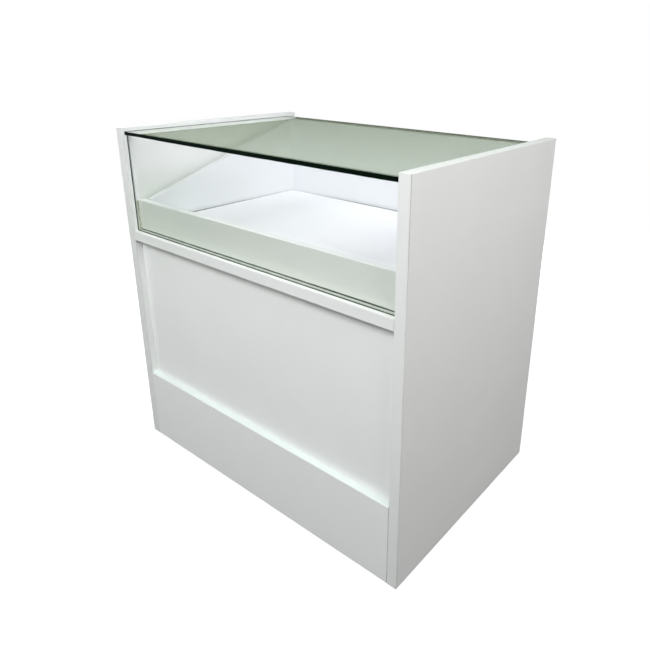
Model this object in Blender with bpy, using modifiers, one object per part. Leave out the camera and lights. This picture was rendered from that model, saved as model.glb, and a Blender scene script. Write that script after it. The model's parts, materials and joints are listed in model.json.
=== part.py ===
"""Glass display counter: a laminated shop counter with a glazed display tray on runners.

Metres, +Z up. The origin is on the floor, midway between the ends and midway from front to rear.
The customer side is at -Y, the staff side at +Y. The tray slides out along +Y.
"""

from math import atan2, hypot, pi

import bmesh
import bpy
from mathutils import Matrix, Vector

# Overall size
COUNTER_WIDTH = 0.900
COUNTER_DEPTH = 0.600
COUNTER_HEIGHT = 0.890

# Boards
PANEL_THICKNESS = 0.025       # side panels and display deck
BOARD_THICKNESS = 0.018       # front panel, storage boards and tray boards
EDGE_BAND_THICKNESS = 0.002   # edging strip on the side panels' front edges
BOARD_EASE = 0.0008           # rounding of a board's edges
FIT = 0.0003                  # gap between pieces that touch

# Front of the cabinet
DECK_TOP = 0.624              # height of the display deck's top face
DECK_REAR_SETBACK = 0.002
FRONT_RECESS = 0.018          # front panel's face behind the side panels' front edges
KICK_TOP = 0.202
KICK_END_CLEARANCE = 0.0008   # dark joint at each end of the kick board
FLOOR_CLEARANCE = 0.001       # boards between the side panels stay off the floor

# Glass
GLASS_THICKNESS = 0.008
GLASS_EASE = 0.0006
GLASS_DROP = 0.010            # top pane's upper face below the side panels' tops
GLASS_HOUSING = 0.006         # depth of the grooves in the side panels
TOP_GLASS_FRONT_SETBACK = 0.007
TOP_GLASS_REAR_SETBACK = 0.028
FRONT_GLASS_SETBACK = 0.013

# Storage space
BASE_TOP = 0.100
BASE_REAR_SETBACK = 0.010
PLINTH_REAR_SETBACK = 0.040
SHELF_UNDERSIDE = 0.342
SHELF_END_CLEARANCE = 0.0015
SHELF_FRONT_CLEARANCE = 0.007
SHELF_REAR_SETBACK = 0.045

# Shelf pins and the rows of holes that they plug into
PIN_SHANK_DIAMETER = 0.005
PIN_SHANK_LENGTH = 0.010
PIN_HEAD_DIAMETER = 0.009
PIN_HEAD_LENGTH = 0.009
PIN_CHAMFER = 0.0006
PIN_HOLE_PITCH = 0.032
PIN_HOLES_ABOVE_AND_BELOW = 2
PIN_INSET = 0.055             # from the front and rear edges of the shelf
PIN_HOLE_EXTRA_DEPTH = 0.001

# Dowels
DOWEL_DIAMETER = 0.008
DOWEL_LENGTH = 0.030
DOWEL_IN_PANEL = 0.012
DOWEL_CHAMFER = 0.0008
DOWEL_INSET = 0.080           # from the front and rear edges of the board that it holds
DOWEL_HOLE_EXTRA_DEPTH = 0.0005

# Low board that stands on the display deck behind the front glass
FASCIA_HEIGHT = 0.080
FASCIA_GLASS_GAP = 0.0065

# Display tray
TRAY_LIFT = 0.006             # underside of the tray's box above the display deck
TRAY_BASE_RAISE = 0.002       # base board above the underside of the box
TRAY_FASCIA_GAP = 0.003       # between the fascia and the tray when it is pushed home
TRAY_FRONT_HEIGHT = 0.050     # tray's own front board, hidden by the fascia
TRAY_SIDE_FRONT_STEP = 0.003  # sloped sides start this much above the fascia
TRAY_TOP_CLEARANCE = 0.004    # tray's back edge below the top pane

# Staff-side face of the tray
DRAWER_FACE_SETBACK = 0.009   # outer side in from the side panels' rear edges
DRAWER_FACE_LIFT = 0.004      # above the display deck
DRAWER_FACE_END_CLEARANCE = 0.004

# Runners between the tray and the side panels
RUNNER_SPACE = 0.013          # side panel to tray side
RUNNER_HEIGHT = 0.045
RUNNER_SHEET = 0.0015
RUNNER_PLAY = 0.0004
RUNNER_TIP_GAP = 0.0032       # flange tips of the cabinet and middle members to the tray side
RUNNER_WEB_SPACING = 0.003    # between the webs of the cabinet and middle members
RUNNER_TRAY_WEB_GAP = 0.0007
RUNNER_RISE = 0.010           # above the underside of the tray's box
RUNNER_FRONT_SETBACK = 0.0025 # from the front end of the tray's sides
RUNNER_REAR_SETBACK = 0.0225  # from the rear end of the tray's sides

# Flush pull in the drawer face
PULL_WIDTH = 0.124
PULL_HEIGHT = 0.044
PULL_DEPTH = 0.0115
PULL_WALL = 0.0015
PULL_RIM = 0.008              # overlap of the rim on the drawer face
PULL_RIM_THICKNESS = 0.002
PULL_RIM_CORNER = 0.006
PULL_LIP = 0.014              # part of the mouth that the rim covers for the fingers to hook
PULL_BELOW_TOP = 0.070        # middle of the pull below the drawer face's top edge

# Facets
ROUND_STEPS = 16
CORNER_STEPS = 4
CUT_MARGIN = 0.002            # how far a cutter runs past the face that it opens

# Colours
WHITE_LAMINATE = (0.80, 0.80, 0.79, 1.0)
WHITE_EDGING = (0.78, 0.78, 0.77, 1.0)
FLOAT_GLASS = (0.82, 0.92, 0.86, 1.0)
ZINC_STEEL = (0.60, 0.61, 0.62, 1.0)
SATIN_ALUMINIUM = (0.68, 0.69, 0.70, 1.0)
BEECH = (0.62, 0.45, 0.27, 1.0)

# Positions that follow from the sizes
half_width = COUNTER_WIDTH / 2
front = -COUNTER_DEPTH / 2
rear = COUNTER_DEPTH / 2
inner_x = half_width - PANEL_THICKNESS
between_x = inner_x - FIT
deck_underside = DECK_TOP - PANEL_THICKNESS
top_glass_upper = COUNTER_HEIGHT - GLASS_DROP
top_glass_under = top_glass_upper - GLASS_THICKNESS
front_glass_outer = front + FRONT_GLASS_SETBACK
front_glass_inner = front_glass_outer + GLASS_THICKNESS
front_panel_outer = front + FRONT_RECESS
front_panel_inner = front_panel_outer + BOARD_THICKNESS
base_underside = BASE_TOP - BOARD_THICKNESS
shelf_front = front_panel_inner + SHELF_FRONT_CLEARANCE
shelf_rear = rear - SHELF_REAR_SETBACK
tray_underside = DECK_TOP + TRAY_LIFT
drawer_face_bottom = DECK_TOP + DRAWER_FACE_LIFT
drawer_face_end = inner_x - DRAWER_FACE_END_CLEARANCE
tray_outer_x = inner_x - RUNNER_SPACE
tray_inner_x = tray_outer_x - BOARD_THICKNESS
fascia_outer = front_glass_inner + FASCIA_GLASS_GAP
fascia_inner = fascia_outer + BOARD_THICKNESS
fascia_top = DECK_TOP + FASCIA_HEIGHT
tray_front = fascia_inner + TRAY_FASCIA_GAP
tray_front_inner = tray_front + BOARD_THICKNESS
tray_top = top_glass_under - TRAY_TOP_CLEARANCE
drawer_face_outer = rear - DRAWER_FACE_SETBACK
drawer_face_inner = drawer_face_outer - BOARD_THICKNESS
tray_back_outer = drawer_face_inner - FIT
tray_back_inner = tray_back_outer - BOARD_THICKNESS
runner_front = tray_front + RUNNER_FRONT_SETBACK
runner_rear = tray_back_outer - RUNNER_REAR_SETBACK
runner_middle_z = tray_underside + RUNNER_RISE + RUNNER_HEIGHT / 2
pull_z = tray_top - PULL_BELOW_TOP

# Scene
for old in list(bpy.data.objects):
    bpy.data.objects.remove(old, do_unlink=True)

parts = bpy.data.collections.new("glass_display_counter")
cutters = bpy.data.collections.new("cutters")
bpy.context.scene.collection.children.link(parts)
bpy.context.scene.collection.children.link(cutters)


def add_object(name, mesh, collection):
    """Link a mesh as a named object; a cutter is drawn as wire and not rendered."""
    made = bpy.data.objects.new(name, mesh)
    collection.objects.link(made)
    if collection is cutters:
        made.hide_render = True
        made.display_type = 'WIRE'
    return made


def paint(made, colour, roughness, metallic=0.0, transmission=0.0):
    """Give a piece its own Principled material."""
    material = bpy.data.materials.new(made.name + "_finish")
    material.use_nodes = True
    shader = material.node_tree.nodes["Principled BSDF"]
    shader.inputs["Base Color"].default_value = colour
    shader.inputs["Roughness"].default_value = roughness
    shader.inputs["Metallic"].default_value = metallic
    shader.inputs["Transmission Weight"].default_value = transmission
    made.data.materials.append(material)
    return made


def box(name, x, y, z, collection=parts):
    """A box between three pairs of limits, with its origin at its middle."""
    spans = (x, y, z)
    size = [abs(high - low) for low, high in spans]
    mesh = bpy.data.meshes.new(name)
    shape = bmesh.new()
    bmesh.ops.create_cube(shape, size=1.0)
    bmesh.ops.scale(shape, vec=size, verts=shape.verts)
    shape.to_mesh(mesh)
    shape.free()
    made = add_object(name, mesh, collection)
    made.location = [(low + high) / 2 for low, high in spans]
    return made


def ease(made, width):
    """Round the edges a little, as edging and polished glass are."""
    bevel = made.modifiers.new("eased_edges", 'BEVEL')
    bevel.width = width
    bevel.segments = 2
    bevel.limit_method = 'ANGLE'
    return made


def boolean(made, other, operation):
    modifier = made.modifiers.new(other.name, 'BOOLEAN')
    modifier.object = other
    modifier.operation = operation
    modifier.solver = 'EXACT'
    return made


def cut(made, cutter):
    return boolean(made, cutter, 'DIFFERENCE')


def laminate_board(name, x, y, z):
    made = ease(box(name, x, y, z), BOARD_EASE)
    return paint(made, WHITE_LAMINATE, 0.45)


def turned(name, profile, collection=parts):
    """A turned piece on its local Z axis; the profile runs down its outer side as (radius, height)."""
    mesh = bpy.data.meshes.new(name)
    shape = bmesh.new()
    points = [shape.verts.new((radius, 0.0, height)) for radius, height in profile]
    for upper, lower in zip(points, points[1:]):
        shape.edges.new((upper, lower))
    shape.to_mesh(mesh)
    shape.free()
    made = add_object(name, mesh, collection)
    screw = made.modifiers.new("turning", 'SCREW')
    screw.steps = ROUND_STEPS
    screw.render_steps = ROUND_STEPS
    screw.use_merge_vertices = True
    screw.merge_threshold = 0.00001
    screw.use_smooth_shade = False
    return made


def drill(name, middles, radius, length):
    """One cutter with a round hole along X at each point."""
    mesh = bpy.data.meshes.new(name)
    shape = bmesh.new()
    for middle in middles:
        place = Matrix.Translation(middle) @ Matrix.Rotation(pi / 2, 4, 'Y')
        bmesh.ops.create_cone(shape, cap_ends=True, segments=ROUND_STEPS, radius1=radius, radius2=radius,
                              depth=length, matrix=place)
    shape.to_mesh(mesh)
    shape.free()
    return add_object(name, mesh, cutters)


# Places of the dowels and of the shelf pins, as (height, distance from front to rear)
deck_rear = rear - DECK_REAR_SETBACK
base_front = front_panel_inner + FIT
base_rear = rear - BASE_REAR_SETBACK
dowel_places = {
    "deck_front": (DECK_TOP - PANEL_THICKNESS / 2, front + DOWEL_INSET),
    "deck_rear": (DECK_TOP - PANEL_THICKNESS / 2, deck_rear - DOWEL_INSET),
    "base_front": (BASE_TOP - BOARD_THICKNESS / 2, base_front + DOWEL_INSET),
    "base_rear": (BASE_TOP - BOARD_THICKNESS / 2, base_rear - DOWEL_INSET),
}
pin_z = SHELF_UNDERSIDE - FIT - PIN_HEAD_DIAMETER / 2
pin_places = {
    "front": shelf_front + PIN_INSET,
    "rear": shelf_rear - PIN_INSET,
}
pin_rows = [pin_z + row * PIN_HOLE_PITCH
            for row in range(-PIN_HOLES_ABOVE_AND_BELOW, PIN_HOLES_ABOVE_AND_BELOW + 1)]

# Side panels with their edging, glass grooves, dowel holes and shelf-pin holes
for side_name, side in (("left", -1), ("right", 1)):
    panel = laminate_board("side_panel_" + side_name,
                           (side * inner_x, side * half_width),
                           (front + EDGE_BAND_THICKNESS + FIT, rear),
                           (0.0, COUNTER_HEIGHT))
    groove_x = (side * (inner_x - CUT_MARGIN), side * (inner_x + GLASS_HOUSING))
    top_groove = box("top_groove_" + side_name, groove_x,
                     (front + TOP_GLASS_FRONT_SETBACK - FIT, rear + CUT_MARGIN),
                     (top_glass_under - FIT, top_glass_upper + FIT), cutters)
    front_groove = box("front_groove_" + side_name, groove_x,
                       (front_glass_outer - FIT, front_glass_inner + FIT),
                       (DECK_TOP - FIT, top_glass_under + FIT), cutters)
    dowel_hole_depth = DOWEL_IN_PANEL + DOWEL_HOLE_EXTRA_DEPTH
    dowel_hole_middle = inner_x + (dowel_hole_depth - CUT_MARGIN) / 2
    dowel_holes = drill("dowel_holes_" + side_name,
                        [Vector((side * dowel_hole_middle, y, z)) for z, y in dowel_places.values()],
                        DOWEL_DIAMETER / 2 + FIT, dowel_hole_depth + CUT_MARGIN)
    pin_hole_depth = PIN_SHANK_LENGTH + PIN_HOLE_EXTRA_DEPTH
    pin_hole_middle = inner_x + (pin_hole_depth - CUT_MARGIN) / 2
    pin_holes = drill("pin_holes_" + side_name,
                      [Vector((side * pin_hole_middle, y, z)) for y in pin_places.values() for z in pin_rows],
                      PIN_SHANK_DIAMETER / 2 + FIT, pin_hole_depth + CUT_MARGIN)
    for cutter in (top_groove, front_groove, dowel_holes, pin_holes):
        cut(panel, cutter)
    band = ease(box("edge_band_" + side_name,
                    (side * inner_x, side * half_width),
                    (front, front + EDGE_BAND_THICKNESS),
                    (0.0, COUNTER_HEIGHT)), BOARD_EASE)
    paint(band, WHITE_EDGING, 0.40)

# Boards between the side panels
across = (-between_x, between_x)
deck = laminate_board("display_deck", across, (front, deck_rear), (deck_underside, DECK_TOP))
laminate_board("front_panel", across, (front_panel_outer, front_panel_inner),
               (FLOOR_CLEARANCE, deck_underside - FIT))
kick_end = inner_x - KICK_END_CLEARANCE
laminate_board("kick_board", (-kick_end, kick_end), (front, front_panel_outer - FIT), (FLOOR_CLEARANCE, KICK_TOP))
laminate_board("display_fascia", across, (fascia_outer, fascia_inner), (DECK_TOP + FIT, fascia_top))
base = laminate_board("base_board", across, (base_front, base_rear), (base_underside, BASE_TOP))
plinth_rear = rear - PLINTH_REAR_SETBACK
laminate_board("rear_plinth", across, (plinth_rear - BOARD_THICKNESS, plinth_rear),
               (FLOOR_CLEARANCE, base_underside - FIT))
shelf_end = inner_x - SHELF_END_CLEARANCE
laminate_board("storage_shelf", (-shelf_end, shelf_end), (shelf_front, shelf_rear),
               (SHELF_UNDERSIDE, SHELF_UNDERSIDE + BOARD_THICKNESS))

# Dowels, each half in a side panel and half in a board's end
dowel_in_board = DOWEL_LENGTH - DOWEL_IN_PANEL
board_hole_depth = dowel_in_board + DOWEL_HOLE_EXTRA_DEPTH
board_hole_middle = between_x - (board_hole_depth - CUT_MARGIN) / 2
for board_name, board in (("deck", deck), ("base", base)):
    places = [place for key, place in dowel_places.items() if key.startswith(board_name)]
    board_holes = drill(board_name + "_end_holes",
                        [Vector((side * board_hole_middle, y, z)) for side in (-1, 1) for z, y in places],
                        DOWEL_DIAMETER / 2 + FIT, board_hole_depth + CUT_MARGIN)
    cut(board, board_holes)
dowel_radius = DOWEL_DIAMETER / 2
dowel_end = DOWEL_LENGTH / 2
dowel_profile = [(0.0, dowel_end), (dowel_radius - DOWEL_CHAMFER, dowel_end),
                 (dowel_radius, dowel_end - DOWEL_CHAMFER), (dowel_radius, DOWEL_CHAMFER - dowel_end),
                 (dowel_radius - DOWEL_CHAMFER, -dowel_end), (0.0, -dowel_end)]
for place_name, (z, y) in dowel_places.items():
    for side_name, side in (("left", -1), ("right", 1)):
        dowel = turned("dowel_" + place_name + "_" + side_name, dowel_profile)
        dowel.location = (side * (inner_x + DOWEL_IN_PANEL - dowel_end), y, z)
        dowel.rotation_euler = (0.0, side * pi / 2, 0.0)
        paint(dowel, BEECH, 0.6)

# Shelf pins, with the shank in the panel and the head under the shelf
shank_radius = PIN_SHANK_DIAMETER / 2
head_radius = PIN_HEAD_DIAMETER / 2
pin_profile = [(0.0, PIN_SHANK_LENGTH), (shank_radius - PIN_CHAMFER, PIN_SHANK_LENGTH),
               (shank_radius, PIN_SHANK_LENGTH - PIN_CHAMFER), (shank_radius, -FIT), (head_radius, -FIT),
               (head_radius, PIN_CHAMFER - PIN_HEAD_LENGTH),
               (head_radius - PIN_CHAMFER, -PIN_HEAD_LENGTH), (0.0, -PIN_HEAD_LENGTH)]
for place_name, y in pin_places.items():
    for side_name, side in (("left", -1), ("right", 1)):
        pin = turned("shelf_pin_" + place_name + "_" + side_name, pin_profile)
        pin.location = (side * inner_x, y, pin_z)
        pin.rotation_euler = (0.0, side * pi / 2, 0.0)
        paint(pin, ZINC_STEEL, 0.35, metallic=1.0)

# Glass panes, housed in the side panels; the top pane lies on the front pane
glass_end = inner_x + GLASS_HOUSING - FIT
top_glass = ease(box("top_glass", (-glass_end, glass_end),
                     (front + TOP_GLASS_FRONT_SETBACK, rear - TOP_GLASS_REAR_SETBACK),
                     (top_glass_under, top_glass_upper)), GLASS_EASE)
paint(top_glass, FLOAT_GLASS, 0.02, transmission=1.0)
front_glass = ease(box("front_glass", (-glass_end, glass_end), (front_glass_outer, front_glass_inner),
                       (DECK_TOP + FIT, top_glass_under - FIT)), GLASS_EASE)
paint(front_glass, FLOAT_GLASS, 0.02, transmission=1.0)

# Display tray, carried by an empty that slides along +Y
carriage = bpy.data.objects.new("tray_carriage", None)
carriage.location = (0.0, 0.0, runner_middle_z)
parts.objects.link(carriage)
bpy.context.view_layer.update()


def ride(made):
    """Parent a piece to the tray's carriage and keep its place."""
    made.parent = carriage
    made.matrix_parent_inverse = carriage.matrix_world.inverted()
    return made


box_x = (FIT - tray_inner_x, tray_inner_x - FIT)
ride(laminate_board("tray_front_board", box_x, (tray_front, tray_front_inner),
                    (tray_underside, tray_underside + TRAY_FRONT_HEIGHT)))
ride(laminate_board("tray_back_board", box_x, (tray_back_inner, tray_back_outer), (tray_underside, tray_top)))
tray_base_under = tray_underside + TRAY_BASE_RAISE
ride(laminate_board("tray_base", box_x, (tray_front_inner + FIT, tray_back_inner - FIT),
                    (tray_base_under, tray_base_under + BOARD_THICKNESS)))
slope_foot = fascia_top + TRAY_SIDE_FRONT_STEP
slope_run = tray_back_inner - tray_front
slope_rise = tray_top - slope_foot
for side_name, side in (("left", -1), ("right", 1)):
    tray_side = box("tray_side_" + side_name, (side * tray_inner_x, side * tray_outer_x),
                    (tray_front, tray_back_outer), (tray_underside, tray_top))
    slope_length = hypot(slope_run, slope_rise)
    slope_cut = box("slope_cut_" + side_name, (-BOARD_THICKNESS, BOARD_THICKNESS),
                    (-slope_length, slope_length * 2), (0.0, slope_length), cutters)
    slope_cut.data.transform(Matrix.Translation(slope_cut.location))
    slope_cut.location = (side * (tray_inner_x + tray_outer_x) / 2, tray_front, slope_foot)
    slope_cut.rotation_euler = (atan2(slope_rise, slope_run), 0.0, 0.0)
    cut(tray_side, slope_cut)
    ease(tray_side, BOARD_EASE)
    paint(tray_side, WHITE_LAMINATE, 0.45)
    ride(tray_side)

# Drawer face on the staff side, with a pocket for the flush pull
drawer_face = laminate_board("drawer_face", (-drawer_face_end, drawer_face_end),
                             (drawer_face_inner, drawer_face_outer), (drawer_face_bottom, tray_top))
pull_half_width = PULL_WIDTH / 2
pull_half_height = PULL_HEIGHT / 2
pocket = box("pull_pocket", (-pull_half_width - FIT, pull_half_width + FIT),
             (drawer_face_outer - PULL_DEPTH - FIT, drawer_face_outer + CUT_MARGIN),
             (pull_z - pull_half_height - FIT, pull_z + pull_half_height + FIT), cutters)
cut(drawer_face, pocket)
ride(drawer_face)

# Flush pull: a cup with a rim that overlaps the face and a lip over the top of its mouth
rim_inner = drawer_face_outer + FIT
rim_outer = rim_inner + PULL_RIM_THICKNESS
pull = box("finger_pull", (-pull_half_width - PULL_RIM, pull_half_width + PULL_RIM), (rim_inner, rim_outer),
           (pull_z - pull_half_height - PULL_RIM, pull_z + pull_half_height + PULL_RIM))
rim_shape = bmesh.new()
rim_shape.from_mesh(pull.data)
corner_edges = [edge for edge in rim_shape.edges
                if abs(edge.verts[0].co.y - edge.verts[1].co.y) > PULL_RIM_THICKNESS / 2]
bmesh.ops.bevel(rim_shape, geom=corner_edges, offset=PULL_RIM_CORNER, segments=CORNER_STEPS, profile=0.5,
                affect='EDGES')
rim_shape.to_mesh(pull.data)
rim_shape.free()
cup = box("pull_cup", (-pull_half_width, pull_half_width),
          (drawer_face_outer - PULL_DEPTH, (rim_inner + rim_outer) / 2),
          (pull_z - pull_half_height, pull_z + pull_half_height), cutters)
boolean(pull, cup, 'UNION')
hollow_half_width = pull_half_width - PULL_WALL
hollow_half_height = pull_half_height - PULL_WALL
hollow = box("pull_hollow", (-hollow_half_width, hollow_half_width),
             (drawer_face_outer - PULL_DEPTH + PULL_WALL, rim_inner),
             (pull_z - hollow_half_height, pull_z + hollow_half_height), cutters)
cut(pull, hollow)
mouth = box("pull_mouth", (-hollow_half_width, hollow_half_width),
            (drawer_face_outer - PULL_DEPTH + PULL_WALL, rim_outer + CUT_MARGIN),
            (pull_z - hollow_half_height, pull_z + hollow_half_height - PULL_LIP), cutters)
cut(pull, mouth)
paint(pull, SATIN_ALUMINIUM, 0.35, metallic=1.0)
ride(pull)


def channel(name, side, near, far, height, web_at_near):
    """A channel along Y; near and far are distances from the side panel towards the tray."""
    y = (runner_front, runner_rear)
    half = height / 2
    made = box(name, (side * (inner_x - near), side * (inner_x - far)), y,
               (runner_middle_z - half, runner_middle_z + half))
    open_near = near + RUNNER_SHEET if web_at_near else near - CUT_MARGIN
    open_far = far + CUT_MARGIN if web_at_near else far - RUNNER_SHEET
    hollow_half = half - RUNNER_SHEET
    inside = box(name + "_inside", (side * (inner_x - open_near), side * (inner_x - open_far)),
                 (runner_front - CUT_MARGIN, runner_rear + CUT_MARGIN),
                 (runner_middle_z - hollow_half, runner_middle_z + hollow_half), cutters)
    cut(made, inside)
    return paint(made, ZINC_STEEL, 0.35, metallic=1.0)


# Telescopic runners: cabinet, middle and tray members nested in one another
cabinet_far = RUNNER_SPACE - RUNNER_TIP_GAP
middle_near = FIT + RUNNER_SHEET + RUNNER_WEB_SPACING
tray_near = middle_near + RUNNER_SHEET + RUNNER_TRAY_WEB_GAP
middle_height = RUNNER_HEIGHT - 2 * (RUNNER_SHEET + RUNNER_PLAY)
tray_member_height = middle_height - 2 * (RUNNER_SHEET + RUNNER_PLAY)
for side_name, side in (("left", -1), ("right", 1)):
    channel("runner_cabinet_" + side_name, side, FIT, cabinet_far, RUNNER_HEIGHT, True)
    channel("runner_middle_" + side_name, side, middle_near, cabinet_far, middle_height, True)
    ride(channel("runner_tray_" + side_name, side, tray_near, RUNNER_SPACE - FIT, tray_member_height, False))
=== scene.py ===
# %% [markdown]
# This file dresses a glass display counter: a white laminated cabinet with a
# glass top and front, a display tray behind the glass that staff pull out, and
# open storage below. The CAD frame already holds every board, pane and runner
# in its place, so it is loaded first and never moved. What is left is the
# finish of each piece, the small parts too fine for CAD, and the studio.

# %% Load the CAD frame
import json
from math import radians

import bpy
import numpy as np
from mathutils import Matrix, Vector


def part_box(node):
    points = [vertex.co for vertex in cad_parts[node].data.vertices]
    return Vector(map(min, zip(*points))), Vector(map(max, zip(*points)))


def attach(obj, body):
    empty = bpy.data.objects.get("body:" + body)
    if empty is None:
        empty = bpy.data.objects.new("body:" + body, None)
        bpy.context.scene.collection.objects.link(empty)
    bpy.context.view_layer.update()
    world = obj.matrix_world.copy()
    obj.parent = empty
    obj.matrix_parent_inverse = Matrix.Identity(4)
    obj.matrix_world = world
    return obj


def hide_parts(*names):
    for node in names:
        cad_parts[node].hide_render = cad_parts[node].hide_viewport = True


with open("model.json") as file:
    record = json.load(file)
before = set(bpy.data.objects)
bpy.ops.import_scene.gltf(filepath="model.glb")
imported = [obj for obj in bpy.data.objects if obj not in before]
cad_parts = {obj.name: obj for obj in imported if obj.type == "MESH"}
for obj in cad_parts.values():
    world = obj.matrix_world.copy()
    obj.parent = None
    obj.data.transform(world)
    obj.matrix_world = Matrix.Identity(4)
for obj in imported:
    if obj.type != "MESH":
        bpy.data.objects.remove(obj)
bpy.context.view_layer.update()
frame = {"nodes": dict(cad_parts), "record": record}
finish_of = {part["node"]: part["material_slot"] for part in frame["record"]["subparts"]}

# %% [markdown]
# The photograph was taken from the customer's right, a little above the glass.
# A camera can be set by eye, but here the place, the turn and the focal length
# were worked out from the corners of the boards, which is why the numbers look
# odd. The picture was cropped off centre, so the lens is shifted a little.

# %% Set the camera
PICTURE = 650  # pixels along each side
FOCAL_PIXELS = 594.0
AIM_ACROSS, AIM_DOWN = 373.5, 265.5  # pixels from the picture's upper left corner
SENSOR = 36.0  # millimetres
CAMERA_PLACE = (0.9942, -1.0893, 1.0741)
CAMERA_TURN, CAMERA_TILT, CAMERA_ROLL = radians(40.81), radians(70.29), radians(-2.57)
camera = bpy.data.objects.new("camera", bpy.data.cameras.new("camera"))
bpy.context.scene.collection.objects.link(camera)
camera.matrix_world = (
    Matrix.Translation(CAMERA_PLACE)
    @ Matrix.Rotation(CAMERA_TURN, 4, "Z")
    @ Matrix.Rotation(CAMERA_TILT, 4, "X")
    @ Matrix.Rotation(CAMERA_ROLL, 4, "Y")
)
camera.data.sensor_width = SENSOR
camera.data.lens = SENSOR * FOCAL_PIXELS / PICTURE
camera.data.shift_x = (PICTURE / 2 - AIM_ACROSS) / PICTURE
camera.data.shift_y = (AIM_DOWN - PICTURE / 2) / PICTURE
bpy.context.scene.camera = camera
bpy.context.scene.view_settings.view_transform = "Standard"
print("camera lens", round(camera.data.lens, 1), "mm")

# %% [markdown]
# Every shape that is added here is a stack of closed rings of points, worked out
# with numpy: the outline of a pane at each height of its edge, or the section of
# a bead carried along its path. The faces always join each ring to the next, so
# one helper numbers them for any stack, and the cells below only have to say
# where the points are.

# %% Turn rings of points into a mesh
def ring_faces(rings, around, flip=False):
    """Point numbers of the faces of a stack of closed rings, and of its two lids.

    A face joins a point, the next one round its ring and those two on the next ring.
    A lid is the whole first or last ring. Flip turns every face over.
    """
    number = np.arange(rings * around).reshape(rings, around)
    beside = np.roll(number, -1, axis=1)
    sides = np.stack([number[:-1], beside[:-1], beside[1:], number[1:]], -1).reshape(-1, 4)
    lids = [number[0, ::-1], number[-1]]
    if flip:
        sides = sides[:, ::-1]
        lids = [lid[::-1] for lid in lids]
    return sides.tolist(), [lid.tolist() for lid in lids]


def make_mesh(name, points, faces, smooth=True):
    """A new object at the origin whose mesh has these points and these faces."""
    mesh = bpy.data.meshes.new(name)
    mesh.from_pydata(np.asarray(points, float).reshape(-1, 3).tolist(), [], faces)
    mesh.polygons.foreach_set("use_smooth", np.full(len(mesh.polygons), smooth))
    mesh.update()
    piece = bpy.data.objects.new(name, mesh)
    bpy.context.scene.collection.objects.link(piece)
    return piece


print("ring helper ready:", len(ring_faces(3, 4)[0]), "faces between 3 rings of 4 points")

# %% [markdown]
# A node material is a small network. Writing it by hand takes three lines for
# every node, so one short helper adds a node and fills or links its inputs. An
# input that is given another node's output is linked, and any other value is
# set on it. The helpers after it name the few steps that most finishes share.

# %% Add shader nodes
MIX_SHARE, MIX_FIRST, MIX_SECOND, MIX_RESULT = 0, 6, 7, 2  # a Mix node's sockets for colours


def step(tree, kind, settings=None, *inputs, **named):
    """Adds a shader node; settings are its switches, the rest its inputs by place or by name."""
    node = tree.nodes.new("ShaderNode" + kind)
    for key, value in (settings or {}).items():
        setattr(node, key, value)
    sockets = [(node.inputs[i], v) for i, v in enumerate(inputs)]
    sockets += [(node.inputs[key.replace("_", " ")], v) for key, v in named.items()]
    for socket, value in sockets:
        if isinstance(value, bpy.types.NodeSocket):
            tree.links.new(value, socket)
        else:
            socket.default_value = value
    return node.outputs[0]


def sums(tree, operation, a, b=0.0, clamp=False):
    """One sum of two numbers or sockets."""
    return step(tree, "Math", {"operation": operation, "use_clamp": clamp}, a, b)


def ramp(tree, value, start, end, low=0.0, high=1.0):
    """A smooth change from low to high while value goes from start to end."""
    return step(tree, "MapRange", {"interpolation_type": "SMOOTHSTEP"}, value, start, end, low, high)


def tint(tree, share, first, second):
    """A colour between two colours, by a share from 0 to 1 that another node gives."""
    node = tree.nodes.new("ShaderNodeMix")
    node.data_type = "RGBA"
    for place, value in ((MIX_SHARE, share), (MIX_FIRST, first), (MIX_SECOND, second)):
        socket = node.inputs[place]
        if isinstance(value, bpy.types.NodeSocket):
            tree.links.new(value, socket)
        else:
            socket.default_value = (*value, 1.0)
    return node.outputs[MIX_RESULT]


def new_material(name):
    """An empty node material: the material, its tree and its output's surface input."""
    material = bpy.data.materials.new(name)
    material.use_nodes = True
    material.node_tree.nodes.clear()
    output = material.node_tree.nodes.new("ShaderNodeOutputMaterial")
    return material, material.node_tree, output.inputs["Surface"]


def object_place(tree):
    """Where a point lies, in metres in the frame of the counter."""
    return tree.nodes.new("ShaderNodeTexCoord").outputs["Object"]


print("shader helpers ready")

# %% [markdown]
# The counter stands on a plain white floor. Lit paper always comes out a little
# grey, so the floor glows just enough to read as white, and keeps the shadow
# under the cabinet because only part of what the camera sees there is glow. For
# the light that bounces back up it is a dark grey, like a shop floor, which
# leaves the foot of each panel darker than its top. In reflections it is white
# too, but for one green-grey patch off to the customer's left: that is where the
# left half of the front glass looks, and it is darker there than on the right.
# A plane would do, but a disc has the same edge in every view.

# %% Lay the floor
def seen_rays(tree):
    """1 for rays that show the background: to the camera, in a reflection or through glass."""
    path = tree.nodes.new("ShaderNodeLightPath").outputs
    both = sums(tree, "ADD", path["Is Camera Ray"], path["Is Glossy Ray"])
    return sums(tree, "ADD", both, path["Is Transmission Ray"], clamp=True)


def disc(radius, rings, spokes):
    """Rings whose radius grows with the square of their number, at equal angles round each."""
    r = (np.linspace(0.0, 1.0, rings + 1)[1:] ** 2 * radius)[:, None]
    a = np.linspace(0.0, 2 * np.pi, spokes, endpoint=False)[None, :]
    points = np.stack(np.broadcast_arrays(r * np.cos(a), r * np.sin(a), 0.0 * r), -1)
    sides, lids = ring_faces(rings, spokes, flip=True)
    return points, sides + lids[:1]


def distance(tree, place, centre):
    """How far a point is from a centre."""
    node = tree.nodes.new("ShaderNodeVectorMath")
    node.operation = "DISTANCE"
    tree.links.new(place, node.inputs[0])
    node.inputs[1].default_value = centre
    return node.outputs["Value"]


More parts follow.
